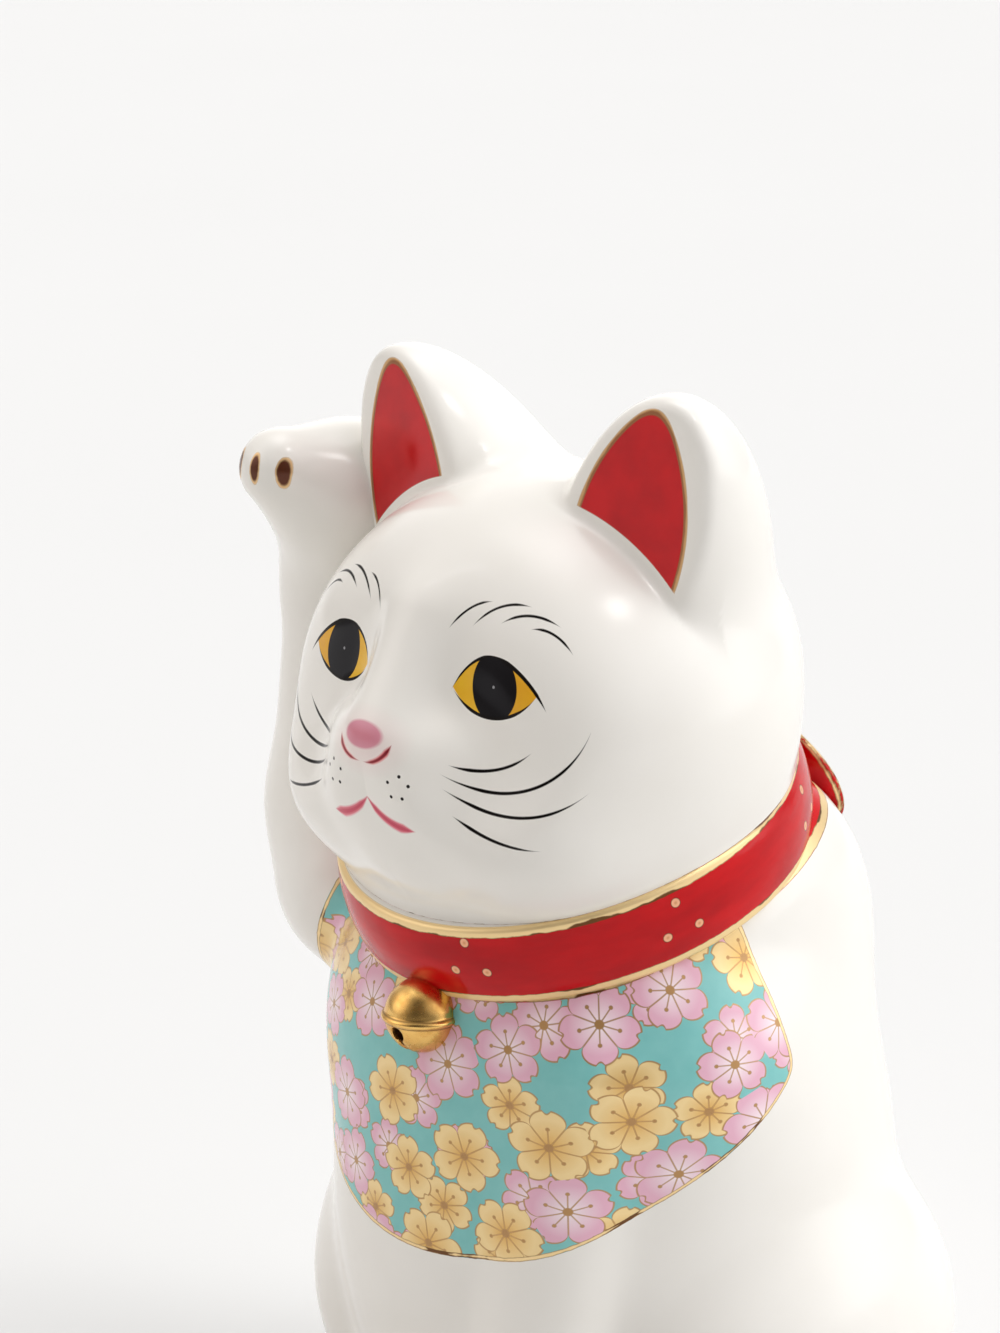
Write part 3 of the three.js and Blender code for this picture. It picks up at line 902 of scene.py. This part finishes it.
def toe_paint(finish, place):
    """Upright gold ovals on the tips of the paws, with brown painted dark reflection in their middle."""
    folded = mirrored(place)
    ratios = []
    for point, toes, half_height in (
        (place, RAISED_TOES, RAISED_TOE_HALF_HEIGHT),
        (place, STANDING_TOES, TOE_HALF_HEIGHT),
        (folded, HIND_TOES, TOE_HALF_HEIGHT),
    ):
        size = (TOE_HALF_WIDTH, TOE_HALF_DEPTH, half_height)
        for toe in toes:
            local = vector_node("DIVIDE", vector_node("SUBTRACT", point, toe), size)
            ratios.append(vector_node("LENGTH", local))
    nearest = least(*ratios) - 1 + finish.wander(place, size=2, reach=0.12, detail=2)
    finish.paint(covered(nearest), TOE_GOLD, GOLD_ROUGH, GOLD_EDGE_METAL)
    # Painted dark reflection: brown in the middle of each gold toe mark
    finish.paint(covered(nearest + TOE_GOLD_SHARE, softness=0.2), TOE_DARK_REFLECTION, roughness=0.2, metal=0.3)


def body_finish():
    """White glaze with the bib and the toe marks, and bare biscuit under the foot."""
    finish = Finish("porcelain_and_bib", GLAZE, GLAZE_ROUGH)
    place = finish.place()
    glaze(finish, place)
    bib_paint(finish, place)
    toe_paint(finish, place)
    collar_over(finish, place)
    foot = covered(parts_of(place)[2] - BISCUIT_TOP, softness=0.3)
    grit = finish.patches(place, size=1.2, detail=4, gain=3, offset=-1.4)
    finish.paint(foot, BISCUIT, roughness=0.75)
    finish.paint(foot * grit, BISCUIT_SHADE, roughness=0.85)
    return finish.done(GLAZE_IOR, glaze_relief(finish, place))


def collar_finish():
    """Red enamel between two gold edges, with groups of three gold dots."""
    finish = Finish("collar_enamel", RED, RED_ROUGH)
    place = finish.place()
    x, level, height, out = collar_frame(place)
    enamel(finish, vector_of(x * 0.3, level * 0.3, height))
    angle = math_node("ARCTAN2", x, -level) * math.degrees(1)
    turned = math_node("WRAP", angle, DOTS_FIRST + DOTS_STEP / 2, DOTS_FIRST - DOTS_STEP / 2)
    across = (turned - DOTS_FIRST) * math.radians(COLLAR_RADIUS)
    up = math_node("MULTIPLY_ADD", abs(angle), DOTS_SINK, height)
    upper = vector_node("DISTANCE", vector_of(across, up), (0, DOTS_UP, 0))
    lower = vector_node("DISTANCE", vector_of(abs(across), up), (DOTS_APART, 0, 0))
    dot = least(upper, lower) - DOT_RADIUS
    finish.paint(covered(dot - DOT_RIM_WIDTH, softness=0.2), DOT_RIM, roughness=0.2, metal=0.3)
    finish.paint(covered(dot, softness=0.2), DOT, GOLD_ROUGH, metal=0.3)
    finish.paint(covered(dot + DOT_RING_WIDTH, softness=0.3), DOT_MIDDLE, GOLD_ROUGH, metal=0.3)
    gild(finish, place, collar_edges(height))
    finish.paint(covered(out + COLLAR_RIM_GOLD, softness=0.3), GLAZE, GLAZE_ROUGH)
    relief = finish.clouds(vector_of(x * 0.4, level * 0.4, height), size=4, detail=2) * COLLAR_RELIEF
    return finish.done(ENAMEL_IOR, relief)


def bow_finish():
    """Red enamel with gold along the rims of the loops and the tails."""
    finish = Finish("bow_enamel", RED, RED_ROUGH)
    place = finish.place()
    enamel(finish, place)
    folded = mirrored(place)
    rims = []
    for at, radii, turn in (
        (BOW_LOOP_AT, BOW_LOOP_RADII, BOW_LOOP_TURN),
        (BOW_TAIL_AT, BOW_TAIL_RADII, BOW_TAIL_TURN),
    ):
        local = vector_node("SUBTRACT", folded, tuple(from_neck(at)))
        wide, thick, high = (
            vector_node("DOT_PRODUCT", local, tuple(axis / radius))
            for axis, radius in zip(turn_matrix(turn).T, radii)
        )
        from_rim = abs(vector_node("LENGTH", vector_of(wide, high)) - BOW_RIM_AT) * min(radii[0], radii[2])
        rims.append(most(from_rim - BOW_RIM_HALF, abs(thick) - 1))
    gild(finish, place, least(*rims))
    return finish.done(ENAMEL_IOR, finish.clouds(place, size=4, detail=2) * BOW_RELIEF)


def bell_finish():
    """Gold lustre, duller in patches, with brown painted shade beside the band and inside the slit."""
    finish = Finish("gold_lustre", LUSTRE, roughness=0.2, metal=1.0)
    place = finish.place()
    dull = finish.patches(place, size=3, detail=4, gain=2.2, offset=-0.8)
    finish.paint(dull, LUSTRE_SHADE, roughness=0.36, metal=1.0)
    local = vector_node("SUBTRACT", place, tuple(from_neck(BELL_AT)))
    height = parts_of(local)[2]
    # Painted shade: brown in the crease beside the band, and on the inside of the bell seen through the slit
    shade_by_band = covered(abs(abs(height) - BELL_BAND - 0.15) - 0.12, softness=0.25)
    hollow = covered(vector_node("LENGTH", local) - BELL_RADIUS + 0.6, softness=0.5)
    finish.paint(most(shade_by_band * 0.7, hollow), LUSTRE_PAINTED_SHADE, roughness=0.5, metal=0.7)
    return finish.done(LUSTRE_IOR, finish.clouds(place, size=2, detail=2) * BELL_RELIEF)


# Camera and light

def make_camera():
    turn, tilt = math.radians(VIEW_AZIMUTH), math.radians(VIEW_ELEVATION)
    ahead = np.array((-math.sin(turn) * math.cos(tilt), math.cos(turn) * math.cos(tilt), -math.sin(tilt)))
    right = np.array((math.cos(turn), math.sin(turn), 0))
    above = np.cross(right, ahead)
    across = (NECK_IN_PHOTO[0] - PHOTO_SIZE[0] / 2) / PIXELS_PER_MM
    down = (NECK_IN_PHOTO[1] - PHOTO_SIZE[1] / 2) / PIXELS_PER_MM
    aim = NECK_MIDDLE - right * across + above * down
    place = aim - ahead * FOCAL_PIXELS / PIXELS_PER_MM
    data = bpy.data.cameras.new("camera")
    data.sensor_width = SENSOR_WIDTH
    data.lens = SENSOR_WIDTH * FOCAL_PIXELS / PHOTO_SIZE[1]
    camera = bpy.data.objects.new("camera", data)
    camera.location = place * MM
    camera.rotation_euler = (math.pi / 2 - tilt, 0, turn)
    bpy.context.scene.collection.objects.link(camera)
    bpy.context.scene.camera = camera


def make_sky():
    world = bpy.data.worlds.new("studio")
    world.use_nodes = True
    nodes = world.node_tree.nodes
    direction = Amount(nodes.new("ShaderNodeTexCoord").outputs["Generated"])
    light = None
    for axis, narrowness, colour in SKY:
        facing = vector_node("DOT_PRODUCT", direction, tuple(Vector(axis).normalized()))
        share = math_node("POWER", most(facing, 0), narrowness)
        part = vector_node("MULTIPLY", vector_of(share, share, share), colour)
        light = vector_node("ADD", light, part) if light else part
    plug(nodes["Background"].inputs["Color"], light)
    bpy.context.scene.world = world


def make_floor():
    finish = Finish("floor_paper", FLOOR, FLOOR_ROUGH)
    finish.paint(finish.clouds(finish.place(), size=300, detail=2) * 0.5, FLOOR_SHADE, FLOOR_ROUGH)
    reach = FLOOR_REACH
    sheet = bpy.data.meshes.new("floor")
    corners = [(-reach, -reach, 0), (reach, -reach, 0), (reach, reach, 0), (-reach, reach, 0)]
    sheet.from_pydata(corners, [], [(0, 1, 2, 3)])
    sheet.materials.append(finish.done())
    floor = bpy.data.objects.new("floor", sheet)
    bpy.context.scene.collection.objects.link(floor)


def make_cat():
    make_skin("cat_head", head_form, HEAD_SPACE, HEAD_CELL, head_finish())
    make_skin("cat_body", body_form, BODY_SPACE, BODY_CELL, body_finish())
    make_collar(collar_finish())
    make_skin("cat_bell", bell_form, BELL_SPACE, BELL_CELL, bell_finish())
    make_skin("cat_bow", bow_form, BOW_SPACE, BOW_CELL, bow_finish())


make_camera()
make_sky()
make_floor()
make_cat()
bpy.context.scene.view_settings.view_transform = "Standard"
